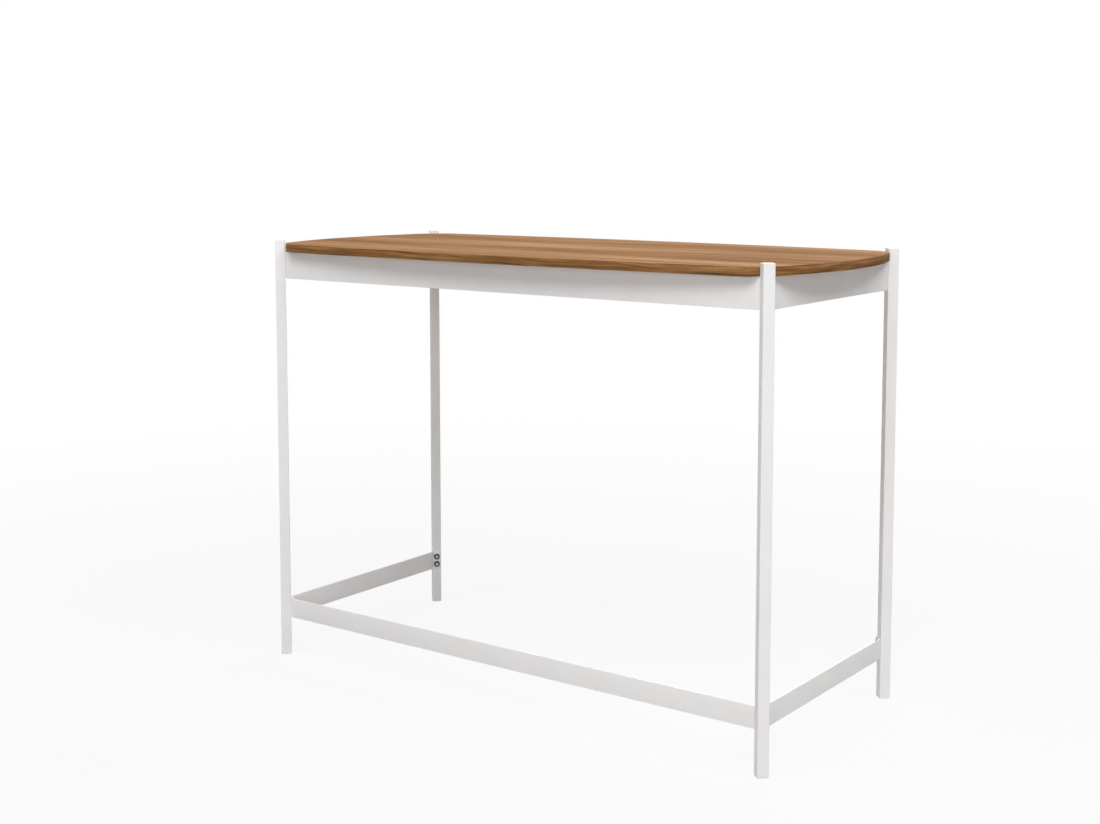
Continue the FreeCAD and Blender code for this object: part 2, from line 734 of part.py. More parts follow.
def on_leg(name, back, reach, level):
    """A body whose Z axis leaves the inner face of a left leg square, so far from the leg's axis."""
    body = doc.addObject("PartDesign::Body", name)
    inward = Vector(1, 1 if back else -1, 0)
    body.Placement = Placement(Vector(), Rotation(Vector(0, 0, 1), inward))
    along = "(%s) / sqrt(2)" % reach
    body.setExpression("Placement.Base.x", "-sizes.half_length + " + along)
    if back:
        body.setExpression("Placement.Base.y", "-sizes.half_depth + " + along)
    else:
        body.setExpression("Placement.Base.y", "sizes.half_depth - " + along)
    body.setExpression("Placement.Base.z", tied(level))
    return body


def make_bolt(body, shank):
    """A low-head bolt: bearing face at the body's origin, head above it and a hexagon socket."""
    profile = Outline(body, "bolt_profile", "XZ_Plane")
    head = size("bolt_head_radius")
    height = size("bolt_head_height")
    radius = size("bolt_radius")
    length = size(shank)
    points = [(0, height), (0, -length), (radius, -length), (radius, 0), (head, 0), (head, height)]
    lines = [profile.line(a, b) for a, b in zip(points, points[1:] + points[:1])]
    axis, tip, side, bearing, rim, top = lines
    profile.loop(lines)
    profile.rule("Vertical", axis)
    profile.rule("PointOnObject", axis, 1, -2)
    profile.rule("Horizontal", tip)
    profile.rule("Vertical", side)
    profile.rule("Horizontal", bearing)
    profile.rule("Vertical", rim)
    profile.rule("Horizontal", top)
    profile.rule("PointOnObject", bearing, 1, -1)
    profile.place(axis, 1, y="bolt_head_height")
    profile.place(tip, 2, "bolt_radius", "-" + shank)
    profile.place(bearing, 2, "bolt_head_radius")
    turned = body.newObject("PartDesign::Revolution", "turned")
    turned.Profile = profile.sketch
    turned.ReferenceAxis = (profile.sketch, ["V_Axis"])
    turned.Angle = 360.0
    socket = Outline(body, "bolt_socket", "XY_Plane")
    socket.hexagon("socket_corner")
    socket.sketch.setExpression("AttachmentOffset.Base.z", tied("bolt_head_height"))
    pocket(body, socket, "2 * " + tied("socket_depth"), "socket")


def joint_bolt(joint, back, level):
    """A bolt on a left leg; its head bears on the stack of tabs that lies on the leg's inner face."""
    bolt = on_leg(joint + "_bolt", back, "sizes.leg_side / 2 + sizes.%s_stack" % joint, level)
    make_bolt(bolt, joint + "_shank")
    return bolt


def make_frame_bolts():
    """One bolt in each upper joint and two, one above the other, in each lower joint."""
    upper = joint_bolt("upper", True, "upper_bolt_level")
    across = mirrored(upper, "upper_bolts_across", Vector(1, 0, 0))
    keep(mirrored(across, "upper_bolts_all", Vector(0, 1, 0)), "upper_bolts")
    group = doc.addObject("Part::Compound", "lower_bolts_group")
    sets = []
    for joint, back in (("lower_back", True), ("lower_front", False)):
        bolt = joint_bolt(joint, back, "lower_bolt_level")
        pair = mirrored(bolt, joint + "_pair", Vector(0, 0, 1), "lower_bolt_middle")
        sets.append(mirrored(pair, joint + "_across", Vector(1, 0, 0)))
    group.Links = sets
    keep(group, "lower_bolts")


make_panel()
for band_side in SIDES:
    make_edge_band(band_side)
make_corner_bands()
for leg_corner in CORNERS:
    make_leg(leg_corner)
    make_plug(leg_corner, "cap")
    make_plug(leg_corner, "glide")
for apron_side in SIDES:
    make_apron(apron_side)
for stretcher_side in ("back", "right", "left"):
    make_stretcher(stretcher_side)
make_frame_bolts()
doc.recompute()

for thing in doc.Objects:
    if "Invalid" in thing.State or "Error" in thing.State:
        raise RuntimeError("%s has failed: %s" % (thing.Label, thing.State))
for node in nodes:
    if node.Shape.isNull() or not node.Shape.isValid() or not node.Shape.Solids:
        raise RuntimeError("%s has no valid solid" % node.Label)

os.makedirs(PARTS_FOLDER, exist_ok=True)
for node in nodes:
    solids = node.Shape.Solids
    shape = solids[0] if len(solids) == 1 else Part.makeCompound(solids)
    shape.exportStep(os.path.join(PARTS_FOLDER, node.Label + ".step"))
    print("%-24s %2d solids %10.1f mm3" % (node.Label, len(solids), shape.Volume))
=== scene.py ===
import json
import math

import bpy
import numpy as np
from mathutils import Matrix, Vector


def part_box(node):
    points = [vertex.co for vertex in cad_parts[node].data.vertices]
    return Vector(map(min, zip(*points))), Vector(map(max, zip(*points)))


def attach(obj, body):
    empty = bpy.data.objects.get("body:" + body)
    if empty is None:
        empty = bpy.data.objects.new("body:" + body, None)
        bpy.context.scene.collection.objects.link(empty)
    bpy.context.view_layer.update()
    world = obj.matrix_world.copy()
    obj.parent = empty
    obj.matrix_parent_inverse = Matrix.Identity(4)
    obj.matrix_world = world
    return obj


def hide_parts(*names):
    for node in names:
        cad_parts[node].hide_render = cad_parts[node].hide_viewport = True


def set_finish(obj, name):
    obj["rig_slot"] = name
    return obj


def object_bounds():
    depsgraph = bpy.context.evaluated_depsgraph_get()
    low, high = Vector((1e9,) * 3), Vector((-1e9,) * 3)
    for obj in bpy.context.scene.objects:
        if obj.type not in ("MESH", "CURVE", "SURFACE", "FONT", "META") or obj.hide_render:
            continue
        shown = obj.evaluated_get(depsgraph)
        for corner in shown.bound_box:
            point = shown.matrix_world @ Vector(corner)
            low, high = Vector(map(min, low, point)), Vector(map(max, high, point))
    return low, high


# The looks of a writing desk: a walnut-look board with banded, bowed edges on a white powder-coated
# frame. Metres throughout. X runs along the desk, Y across it from the back to the open front, and
# Z up.

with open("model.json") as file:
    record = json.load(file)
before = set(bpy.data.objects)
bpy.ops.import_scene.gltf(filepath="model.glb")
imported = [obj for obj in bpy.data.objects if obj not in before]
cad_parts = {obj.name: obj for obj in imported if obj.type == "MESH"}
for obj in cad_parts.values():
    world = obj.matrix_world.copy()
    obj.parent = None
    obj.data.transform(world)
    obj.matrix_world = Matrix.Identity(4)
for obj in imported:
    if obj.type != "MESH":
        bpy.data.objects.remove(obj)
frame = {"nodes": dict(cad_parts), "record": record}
cad_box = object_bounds()

SIDES = ("back", "right", "front", "left")
LONG_SIDES = ("back", "front")
CORNERS = {
    "back_left": (-1, -1),
    "back_right": (1, -1),
    "front_right": (1, 1),
    "front_left": (-1, 1),
}
SLANT = math.sqrt(0.5)  # the sine and the cosine of 45 degrees
DIAGONAL = math.sqrt(2)  # of a square whose side is 1

# sizes that the frame's boxes don't give
LONG_BOW = 0.0219  # how far the board's long sides bow out between the legs
SHORT_BOW = 0.0407  # and its short sides
BAND = 0.001  # thickness of the edge banding
ARRIS = 0.0007  # rounding of the banding's outer edges
LEG_GAP = 0.0008  # between a corner cut and its leg
LEG_CORNER = 0.0012  # rounding of the tubes' corners
TUBE_WALL = 0.0012
STEM_PLAY = 0.0002  # between a plug's stem and the tube's wall
PLUG_ROUND = 0.0006  # rounding of a plug's visible edge
APRON_SHEET = 0.0015  # thickness of the aprons' sheet
STRETCHER_SHEET = 0.0025  # and of the stretchers'
RAIL_BEND = 0.0015  # inner radius of the rails' bends
RAIL_ROUND = 0.0005  # rounding of the sheet's edges
TAB_MARGIN = 0.0008  # from the tip of a side rail's tab to the end of the leg's face
TAB_CLEARANCE = 0.0004  # from the tip of a long rail's tab to the side rail's bend
FLANGE_WIDE = 0.02  # width of the aprons' flanges
FLANGE_GAP = 0.006  # from a flange's end to the next apron's flange
SCREW_FROM_WEB = 0.0107  # from an apron's outer face to its screws
SCREW_FROM_END = 0.085  # from the legs to the outer screws


def middle(part):
    """The middle of a node's box."""
    low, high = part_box(part)
    return (np.array(low) + np.array(high)) / 2


# sizes read from the frame
HALF_LENGTH, HALF_DEPTH = middle("leg_front_right")[:2]
REACH_X, REACH_Y = cad_box[1][0], cad_box[1][1]
BOARD_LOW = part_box("desktop_panel")[0].z
BOARD_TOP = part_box("desktop_panel")[1].z
TUBE_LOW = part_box("leg_front_right")[0].z
TUBE_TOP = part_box("leg_front_right")[1].z
# a turned square's box is its diagonal less what the rounded corners take off
LEG_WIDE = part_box("leg_front_right")[1].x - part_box("leg_front_right")[0].x
LEG_SIDE = (LEG_WIDE + 2 * LEG_CORNER * (DIAGONAL - 1)) / DIAGONAL
CORNER_CUT = (HALF_LENGTH + HALF_DEPTH) / DIAGONAL - LEG_SIDE / 2 - LEG_GAP
BOLT_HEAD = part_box("upper_bolts")[1].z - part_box("upper_bolts")[0].z


# Meshes

SHARP_ANGLE = math.radians(38)  # an edge that turns further than this stays crisp
ROUND_POINTS = 9  # along most roundings
PLUG_ROUND_POINTS = 7
SHEET_ROUND_POINTS = 6
# the mark colours a fastener's key recess lighter than its plate
RECESS_MARK = "lighter_recess"  # the name of the mark on a fastener's points


def show(name, data):
    """A new object in the scene, at the origin."""
    made = bpy.data.objects.new(name, data)
    bpy.context.scene.collection.objects.link(made)
    return made


def quarter_turn(points):
    """Angles at equal steps from 0 to 90 degrees."""
    return np.radians(np.linspace(0, 90, points))


def square_corners(points):
    """The four quarter circles of a rounded square, going round it: each point's angle about its
    corner's centre, and the signs of that centre's two coordinates."""
    angle = (np.radians([0, 90, 180, 270])[:, None] + quarter_turn(points)).ravel()
    return angle, np.repeat([1, -1, -1, 1], points), np.repeat([1, 1, -1, -1], points)


def stacked_rings(rings):
    """A closed solid through a stack of rings, given as a grid (ring, point of the ring, xyz).

    Each ring closes on itself, quads join it to the next, and flat lids close the first and the last.
    The faces are turned round if the solid's signed volume, a sum of a . (b x c) / 6, comes out
    negative."""
    count, around = rings.shape[:2]
    points = rings.reshape(-1, 3)
    ring = np.arange(count - 1)[:, None] * around
    here = np.arange(around)[None, :]
    after = (here + 1) % around
    quads = np.stack([ring + here, ring + after, ring + around + after, ring + around + here], -1)
    quads = quads.reshape(-1, 4)
    lids = [np.arange(around)[::-1], np.arange(around) + (count - 1) * around]
    corners = [quads[:, [0, 1, 2]], quads[:, [0, 2, 3]]]
    corners += [np.stack([np.full(around - 2, lid[0]), lid[1:-1], lid[2:]], 1) for lid in lids]
    a, b, c = np.moveaxis(points[np.concatenate(corners)], 1, 0)
    faces = quads.tolist() + [lid.tolist() for lid in lids]
    if np.einsum("ij,ij->", a, np.cross(b, c)) < 0:
        faces = [face[::-1] for face in faces]
    return points, faces


def make_piece(name, solids, slot, *nodes, mark=None):
    """One object from several solids, with smooth faces that break at sharp edges.

    It rides on the frame, stands for the named nodes and takes the slot's finish. A mark is a number
    for each point, kept in the mesh for the material to read."""
    points = np.concatenate([solid[0] for solid in solids])
    starts = np.cumsum([0] + [len(solid[0]) for solid in solids[:-1]])
    faces = []
    for start, (_, own) in zip(starts, solids):
        faces += [[int(start) + corner for corner in face] for face in own]
    mesh = bpy.data.meshes.new(name)
    mesh.from_pydata(points.tolist(), [], faces)
    mesh.polygons.foreach_set("use_smooth", np.ones(len(faces), bool))
    mesh.set_sharp_from_angle(angle=SHARP_ANGLE)
    if mark is not None:
        layer = mesh.attributes.new(RECESS_MARK, "FLOAT", "POINT")
        layer.data.foreach_set("value", np.asarray(mark, np.float32))
    mesh.update()
    piece = show(name, mesh)
    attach(piece, "root")
    if nodes:
        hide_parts(*nodes)
    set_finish(piece, slot)
    return piece


# Board

CORE_POINTS = 97  # along each side of the core
BANDING_POINTS = 129  # along each side's banding
CUT_POINTS = 9  # along each corner cut's banding


def bow(side):
    """The arc of one side of the board: the direction that it faces, its radius, and how far its
    centre lies behind the middle of the board.

    An arc that falls back by h over half a chord c has the radius (c^2 + h^2) / 2h."""
    facing = math.radians(90 * SIDES.index(side) - 90)
    if side in LONG_SIDES:
        chord, reach, fall = HALF_LENGTH, REACH_Y, LONG_BOW
    else:
        chord, reach, fall = HALF_DEPTH, REACH_X, SHORT_BOW
    radius = (chord ** 2 + fall ** 2) / (2 * fall)
    return facing, radius, radius - reach


def half_angle(radius, setback, cut):
    """The angle from an arc's middle to a corner cut: the cut's line faces 45 degrees away, so the arc
    meets it where radius * cos(angle - 45 degrees) = cut + setback * cos(45 degrees)."""
    return math.pi / 4 - np.arccos((cut + setback * SLANT) / radius)


def on_bow(side, radius, angle):
    """Points at the given radii and angles about a side's centre, x and y in the last axis."""
    facing, _, setback = bow(side)
    x = radius * np.cos(facing + angle) - setback * math.cos(facing)
    y = radius * np.sin(facing + angle) - setback * math.sin(facing)
    return np.stack(np.broadcast_arrays(x, y), -1)


def banding_section():
    """The section of the banding, going round it: how far each point lies outside the core, and its
    height.

    The outer corners are quarter circles."""
    turn = quarter_turn(ROUND_POINTS)
    low_out = BAND - ARRIS + ARRIS * np.sin(turn)
    low_up = BOARD_LOW + ARRIS - ARRIS * np.cos(turn)
    high_up = (BOARD_LOW + BOARD_TOP - low_up)[::-1]
    out = np.concatenate([[0.0], low_out, low_out[::-1], [0.0]])
    up = np.concatenate([[BOARD_LOW], low_up, high_up, [BOARD_TOP]])
    return out, up


def board_core():
    """The board inside its banding: the four arcs and the straight corner cuts, at two heights."""
    arcs = []
    for side in SIDES:
        _, radius, setback = bow(side)
        end = half_angle(radius - BAND, setback, CORNER_CUT - BAND)
        arcs.append(on_bow(side, radius - BAND, np.linspace(-end, end, CORE_POINTS)))
    outline = np.concatenate(arcs)
    heights = (BOARD_LOW, BOARD_TOP)
    levels = [np.column_stack([outline, np.full(len(outline), height)]) for height in heights]
    return stacked_rings(np.stack(levels))


def side_banding(side):
    """The banding's section carried along a bowed side: a point that lies n outside the core keeps to
    the radius core + n, and its run ends where that arc meets the line of the core's corner cut."""
    out, up = banding_section()
    _, radius, setback = bow(side)
    own_radius = radius - BAND + out
    end = half_angle(own_radius, setback, CORNER_CUT - BAND)
    share = np.linspace(-1, 1, BANDING_POINTS)[:, None]
    plan = on_bow(side, own_radius[None, :], share * end[None, :])
    height = np.broadcast_to(up, plan.shape[:2])
    return stacked_rings(np.concatenate([plan, height[..., None]], -1))


def corner_banding(side, following):
    """The banding's section carried straight along the corner cut between two sides, from one side's
    outer arc to the other's."""
    out, up = banding_section()
    ends = []
    for own, sign in ((side, 1), (following, -1)):
        _, radius, setback = bow(own)
        angle = sign * half_angle(radius, setback, CORNER_CUT - BAND + out)
        ends.append(np.column_stack([on_bow(own, radius, angle), up]))
    share = np.linspace(0, 1, CUT_POINTS)[:, None, None]
    return stacked_rings(ends[0] + share * (ends[1] - ends[0]))


def make_board():
    """The core, a strip of banding on each side and short strips on the corner cuts."""
    made = [make_piece("board", [board_core()], "walnut_laminate", "desktop_panel")]
    for side in SIDES:
        strip = side_banding(side)
        made.append(make_piece("banding_" + side, [strip], "walnut_edge", "edge_band_" + side))
    corners = [corner_banding(a, b) for a, b in zip(SIDES, SIDES[1:] + SIDES[:1])]
    made.append(make_piece("banding_corners", corners, "walnut_edge", "corner_edge_bands"))
    return made


# Plugs in the tubes' ends


def square_rings(half, height):
    """Rings of a rounded square turned 45 degrees: one for each half width, at its height.

    Each corner is a quarter circle whose radius shrinks with the ring, about a centre that stays in
    place."""
    angle, sign_x, sign_y = square_corners(ROUND_POINTS)
    centre = np.minimum(LEG_SIDE / 2 - LEG_CORNER, half)[:, None]
    radius = half[:, None] - centre
    x = centre * sign_x + radius * np.cos(angle)
    y = centre * sign_y + radius * np.sin(angle)
    turned = np.stack([x - y, x + y], -1) * SLANT
    level = np.broadcast_to(height[:, None, None], x.shape + (1,))
    return np.concatenate([turned, level], -1)


def plug(face, seat, stem_end):
    """A plug from its stem's end to its visible face, whose edge is a quarter circle."""
    outward = math.copysign(1.0, face - seat)
    side = LEG_SIDE / 2
    stem = side - TUBE_WALL - STEM_PLAY
    turn = quarter_turn(PLUG_ROUND_POINTS)
    half = np.concatenate([[stem, stem, side], side - PLUG_ROUND + PLUG_ROUND * np.cos(turn)])
    rise = face - outward * PLUG_ROUND + outward * PLUG_ROUND * np.sin(turn)
    return square_rings(half, np.concatenate([[stem_end, seat, seat], rise]))


def make_plugs():
    """A cap on each tube and a glide under it."""
    made = []
    for corner, (sign_x, sign_y) in CORNERS.items():
        place = np.array([sign_x * HALF_LENGTH, sign_y * HALF_DEPTH, 0.0])
        low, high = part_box("leg_cap_" + corner)
        cap = stacked_rings(plug(high.z, TUBE_TOP, low.z) + place)
        made.append(make_piece("cap_" + corner, [cap], "white_plastic", "leg_cap_" + corner))
        low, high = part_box("foot_glide_" + corner)
        glide = stacked_rings(plug(low.z, TUBE_LOW, high.z) + place)
        made.append(make_piece("glide_" + corner, [glide], "white_plastic", "foot_glide_" + corner))
    return made


# Rails of bent sheet

TIP_TURN = 80  # degrees that the rounding of a tab's tip goes round, short of a point


def rail_plan(side, span, inset, sheet):
    """Half the straight run of a rail and the length of its bent tabs, from where the legs stand.

    The tabs lie on the legs' inner faces, a side rail's on the leg itself and a long rail's on that
    tab, so the long rail is shorter by a sheet's thickness across the 45 degree face."""
    bend = (DIAGONAL - 1) * (RAIL_BEND + sheet)
    run = span - (LEG_SIDE / DIAGONAL - inset) - bend
    if side in LONG_SIDES:
        tab = LEG_SIDE - 2 * (inset * DIAGONAL + bend) + sheet - TAB_CLEARANCE
        return run - sheet * DIAGONAL, tab
    return run, LEG_SIDE - inset * DIAGONAL - bend - TAB_MARGIN


def rail_end(start, run, tab, sheet):
    """One end of a rail in plan, from a start on its straight run to the tip of its tab: places on the
    outer face, the direction into the sheet at each, and how far the rounded tip has drawn in there.

    The bend is an arc of 45 degrees, the tab goes on straight from it, and the tip follows a quarter
    circle."""
    outer = RAIL_BEND + sheet
    turn = np.radians(np.linspace(0, 45, ROUND_POINTS))
    tip = np.radians(np.linspace(0, TIP_TURN, SHEET_ROUND_POINTS))
    along = tab - RAIL_ROUND + RAIL_ROUND * np.sin(tip)
    x = np.concatenate([[start], run + outer * np.sin(turn), run + (outer + along) * SLANT])
    y = np.concatenate([[0.0], outer * (1 - np.cos(turn)), outer * (1 - SLANT) + along * SLANT])
    lean = np.concatenate([[0.0], turn, np.full(len(tip), math.pi / 4)])
    drawn = np.concatenate([np.zeros(1 + len(turn)), RAIL_ROUND * (1 - np.cos(tip))])
    return np.stack([x, y], -1), np.stack([-np.sin(lean), np.cos(lean)], -1), drawn


def carried_strip(path, sheet, low, high):
    """A strip of sheet with rounded edges carried along a path in plan.

    The section is a rounded rectangle: quarter circles about four fixed centres, whose radius shrinks
    by what the tip has drawn in."""
    place, inward, drawn = path
    angle, sideways, upwards = square_corners(SHEET_ROUND_POINTS)
    radius = (RAIL_ROUND - drawn)[:, None]
    depth = sheet / 2 + sideways * (sheet / 2 - RAIL_ROUND) + radius * np.cos(angle)
    tall = (high - low) / 2 - RAIL_ROUND
    height = (low + high) / 2 + upwards * tall + radius * np.sin(angle)
    plan = place[:, None, :] + depth[..., None] * inward[:, None, :]
    return np.concatenate([plan, height[..., None]], -1)


def folded_strip(half, sheet, low, high):
    """A web and its flange between two ends at equal distances: six arcs joined by straight lines.

    The arcs are the web's rounded lower edge, the outside of the fold, the flange's rounded edge, and
    the inside of the fold; each row gives a centre, a radius, and the angles from and to."""
    edge, outer = RAIL_ROUND, RAIL_BEND + sheet
    rows = [
        (edge, low + edge, edge, 270, 180),
        (outer, high - outer, outer, 180, 90),
        (FLANGE_WIDE - edge, high - edge, edge, 90, 0),
        (FLANGE_WIDE - edge, high - sheet + edge, edge, 0, -90),
        (outer, high - outer, RAIL_BEND, 90, 180),
        (sheet - edge, low + edge, edge, 0, -90),
    ]
    centre_y, centre_z, radius, first, last = np.array(rows).T[..., None]
    angle = np.radians(first + (last - first) * np.linspace(0, 1, ROUND_POINTS))
    depth = (centre_y + radius * np.cos(angle)).ravel()
    height = (centre_z + radius * np.sin(angle)).ravel()
    ends = [np.column_stack([np.full_like(depth, x), depth, height]) for x in (-half, half)]
    return np.stack(ends)


def turned_rail(side, line, rings):
    """A rail moved out to its line and turned to its own side, a quarter turn for each side from the
    back."""
    turn = math.radians(90 * SIDES.index(side))
    x, y, z = rings[..., 0], rings[..., 1] - line, rings[..., 2]
    spun_x = x * math.cos(turn) - y * math.sin(turn)
    spun_y = x * math.sin(turn) + y * math.cos(turn)
    return stacked_rings(np.stack([spun_x, spun_y, z], -1))


def make_rails():
    """The stretchers near the floor, which are plain strips, and the aprons under the board, folded
    between the corners and plain at their ends."""
    other_end = np.array([-1.0, 1.0, 1.0])
    made = []
    for kind, sheet in (("stretcher", STRETCHER_SHEET), ("apron", APRON_SHEET)):
        for side in SIDES:
            name = kind + "_" + side
            if name not in frame["nodes"]:
                continue
            low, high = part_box(name)
            if side in LONG_SIDES:
                axis, reach, span = 1, HALF_DEPTH, HALF_LENGTH
            else:
                axis, reach, span = 0, HALF_LENGTH, HALF_DEPTH
            line = max(abs(low[axis]), abs(high[axis]))
            inset = reach - line
            run, tab = rail_plan(side, span, inset, sheet)
            half = 0.0 if kind == "stretcher" else span - inset - FLANGE_WIDE - FLANGE_GAP
            end = carried_strip(rail_end(half, run, tab, sheet), sheet, low.z, high.z)
            if kind == "stretcher":
                parts = [np.concatenate([end[:0:-1] * other_end, end])]
            else:
                parts = [folded_strip(half, sheet, low.z, high.z), end, end * other_end]
            solids = [turned_rail(side, line, part) for part in parts]
            made.append(make_piece("coated_" + name, solids, "white_steel", name))
    return made


# Bolts and screws

AROUND = 48  # points round a fastener
BOLT_GRIP = 0.0068  # what a bolt goes into the leg beyond the tabs
BOLT_TIP = 0.0024  # radius of the tip
BOLT_TIP_LONG = 0.0006  # length of the tip's slope
BOLT_SHANK = 0.003  # radius of the shank
BOLT_RIM_ROUND = 0.0002  # slope under the head's rim
BOLT_RIM_HIGH = 0.0008  # where the dome begins
BOLT_CROWN = 0.0029  # radius where the dome ends
BOLT_TOP = 0.0033  # height of the head
# the bolt's socket, going down: radius to a corner of the hexagon, and depth under the head's top
BOLT_SOCKET = ((0.0026, 0.0), (0.00232, 0.0002), (0.00232, 0.002), (0.0009, 0.0023))
SCREW_SHANK = 0.0017  # radius of the shank
SCREW_SUNK = 0.001  # what the shank goes into the sheet
SCREW_SEAT = 0.0034  # radius of the head's flat side
SCREW_RIM = 0.0035  # largest radius of the head
SCREW_RIM_HIGH = 0.0006
SCREW_CROWN = 0.0022
SCREW_TOP = 0.0021
# the screw's recess, going down: radius to an arm's end, and height over the seat
SCREW_RECESS = ((0.0018, 0.00215), (0.0013, 0.0014), (0.0008, 0.0009))
CROSS_WAIST = 0.36  # radius between the recess's arms over the radius to an arm's end


def turned_rings(rows, recess):
    """Rings of a turned fastener: rows of radius, height along the axis and share of the key's recess.

    A ring's radius is multiplied by 1 + share * (recess(angle) - 1)."""
    angle = np.radians(np.arange(AROUND) * 360 / AROUND)
    radius, height, share = np.array(rows).T
    wide = radius[:, None] * (1 + share[:, None] * (recess(angle)[None, :] - 1))
    level = np.broadcast_to(height[:, None], wide.shape)
    return np.stack([wide * np.cos(angle), wide * np.sin(angle), level], -1)


def hexagon(angle):
    """A hexagon's radius over its corner radius: cos 30 over the cosine of the angle from a flat's
    middle."""
    return math.cos(math.pi / 6) / np.cos(np.mod(angle, math.pi / 3) - math.pi / 6)


def cross(angle):
    """A four-armed star's radius over its arm's: narrow between the arms, as a power of |cos 2a|."""
    return CROSS_WAIST + (1 - CROSS_WAIST) * np.abs(np.cos(2 * angle)) ** 3


def dome(rim, crown, low, high):
    """Rows of a button head's flank: a quarter of an ellipse from the rim up to the crown."""
    turn = quarter_turn(ROUND_POINTS)
    radius = crown + (rim - crown) * np.cos(turn)
    height = low + (high - low) * np.sin(turn)
    return list(zip(radius, height, np.zeros(ROUND_POINTS)))


def bolt_rows(shank):
    """Radius, height and recess share along a button-head bolt, from its tip to the floor of its
    socket."""
    rim = BOLT_HEAD / 2
    rows = [(BOLT_TIP, -shank, 0.0), (BOLT_SHANK, -shank + BOLT_TIP_LONG, 0.0)]
    rows += [(BOLT_SHANK, 0.0, 0.0), (rim - BOLT_RIM_ROUND, 0.0, 0.0), (rim, BOLT_RIM_ROUND, 0.0)]
    rows += dome(rim, BOLT_CROWN, BOLT_RIM_HIGH, BOLT_TOP)
    return rows + [(radius, BOLT_TOP - depth, 1.0) for radius, depth in BOLT_SOCKET]


def screw_rows():
    """Radius, height and recess share of a pan-head screw, from its seat to the floor of its recess."""
    rows = [(SCREW_SHANK, -SCREW_SUNK, 0.0), (SCREW_SHANK, 0.0, 0.0), (SCREW_SEAT, 0.0, 0.0)]
    rows += dome(SCREW_RIM, SCREW_CROWN, SCREW_RIM_HIGH, SCREW_TOP)
    return rows + [(radius, height, 1.0) for radius, height in SCREW_RECESS]


def placed(rings, origin, axis):
    """Rings moved to an origin with their axis turned along a horizontal or vertical direction."""
    axis = np.array(axis, float) / np.linalg.norm(axis)
    up = np.array([0.0, 0.0, 1.0]) if abs(axis[2]) < 0.5 else np.array([0.0, 1.0, 0.0])
    across = np.cross(up, axis)
    return rings @ np.array([across, up, axis]) + np.array(origin)


def recess_share(rows):
    """1 on the rings of the key's recess and 0 elsewhere, for each point of a fastener."""
    return np.repeat([1.0 if row[2] > 0 else 0.0 for row in rows], AROUND)


def leg_bolt(corner, level, stack):
    """The rings of a bolt at a leg, its head on the stack of tabs that lies on the leg's inner face."""
    sign_x, sign_y = CORNERS[corner]
    inward = np.array([-sign_x, -sign_y, 0.0]) * SLANT
    centre = np.array([sign_x * HALF_LENGTH, sign_y * HALF_DEPTH, level])
    seat = centre + inward * (LEG_SIDE / 2 + stack)
    return placed(turned_rings(bolt_rows(stack + BOLT_GRIP), hexagon), seat, inward)


def make_bolts():
    """The bolts of the upper and lower joints; the back legs carry two stretcher tabs, the front legs
    one."""
    low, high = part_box("lower_bolts")
    spread = high.z - low.z - BOLT_HEAD
    heights = [(low.z + high.z + sign * spread) / 2 for sign in (-1, 1)]
    lower, upper = [], []
    for corner in CORNERS:
        tabs = 2 if corner.startswith("back") else 1
        lower += [leg_bolt(corner, height, tabs * STRETCHER_SHEET) for height in heights]
        upper.append(leg_bolt(corner, middle("upper_bolts")[2], 2 * APRON_SHEET))
    made = []
    for name, bolts in (("lower_bolts", lower), ("upper_bolts", upper)):
        mark = np.tile(recess_share(bolt_rows(BOLT_GRIP)), len(bolts))
        solids = [stacked_rings(rings) for rings in bolts]
        made.append(make_piece("button_" + name, solids, "dark_steel", name, mark=mark))
    return made


def make_screws():
    """Pan-head screws under the aprons' flanges: three along each long side and two along each short
    one."""
    seat = BOARD_LOW - APRON_SHEET
    line_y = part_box("apron_front")[1].y - SCREW_FROM_WEB
    line_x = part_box("apron_right")[1].x - SCREW_FROM_WEB
    run_x = HALF_LENGTH - SCREW_FROM_END
    run_y = HALF_DEPTH - SCREW_FROM_END
    places = [(x, sign * line_y, seat) for sign in (-1, 1) for x in (-run_x, 0.0, run_x)]
    places += [(sign * line_x, y, seat) for sign in (-1, 1) for y in (-run_y, run_y)]
    rings = turned_rings(screw_rows(), cross)
    solids = [stacked_rings(placed(rings, place, (0, 0, -1))) for place in places]
    mark = np.tile(recess_share(screw_rows()), len(places))
    return make_piece("board_screws", solids, "dark_steel", mark=mark)


# Shader nodes; a colour is red, green, blue and 1

# a Mix node's colour sockets, which share their names with its other sockets
MIX_SHARE, MIX_FIRST, MIX_SECOND, MIX_RESULT = 0, 6, 7, 2

# how many times finer than the broad streaks each mark of the grain is, along and across it
SLOW_BEND = (0.7, 0.12)
RING_LINES = (0.8, 4.5)
FIBRES = (3.0, 13.0)
PORES = (14.0, 26.0)
STREAK_BEND = 2.6  # how far the slow bend carries the streaks, in their widths
BAND_BEND = 0.6  # and the bands, in their spacing
LINE_NOISE = (0.5, 0.7)  # where the noise begins to be a ring's line, and where it is one
PORE_NOISE = (0.6, 0.7)  # and a pore
PATCH_SCALE = 14.0  # patches of tone in a coating, in each metre


def feed(tree, made, inputs):
    """Gives a node its inputs by name, each a plain value or the socket that feeds it."""
    for name, value in inputs.items():
        if isinstance(value, bpy.types.NodeSocket):
            tree.links.new(value, made.inputs[name])
        else:
            made.inputs[name].default_value = value


def node(tree, kind, inputs=None, **settings):
    """A new node with its settings and its inputs."""
    made = tree.nodes.new(kind)
    for name, value in settings.items():
        setattr(made, name, value)
    feed(tree, made, inputs or {})
    return made


def math_node(tree, operation, first, second=0.0, third=0.0):
    """The result of a sum on values or sockets."""
    inputs = {0: first, 1: second, 2: third}
    return node(tree, "ShaderNodeMath", inputs, operation=operation).outputs[0]


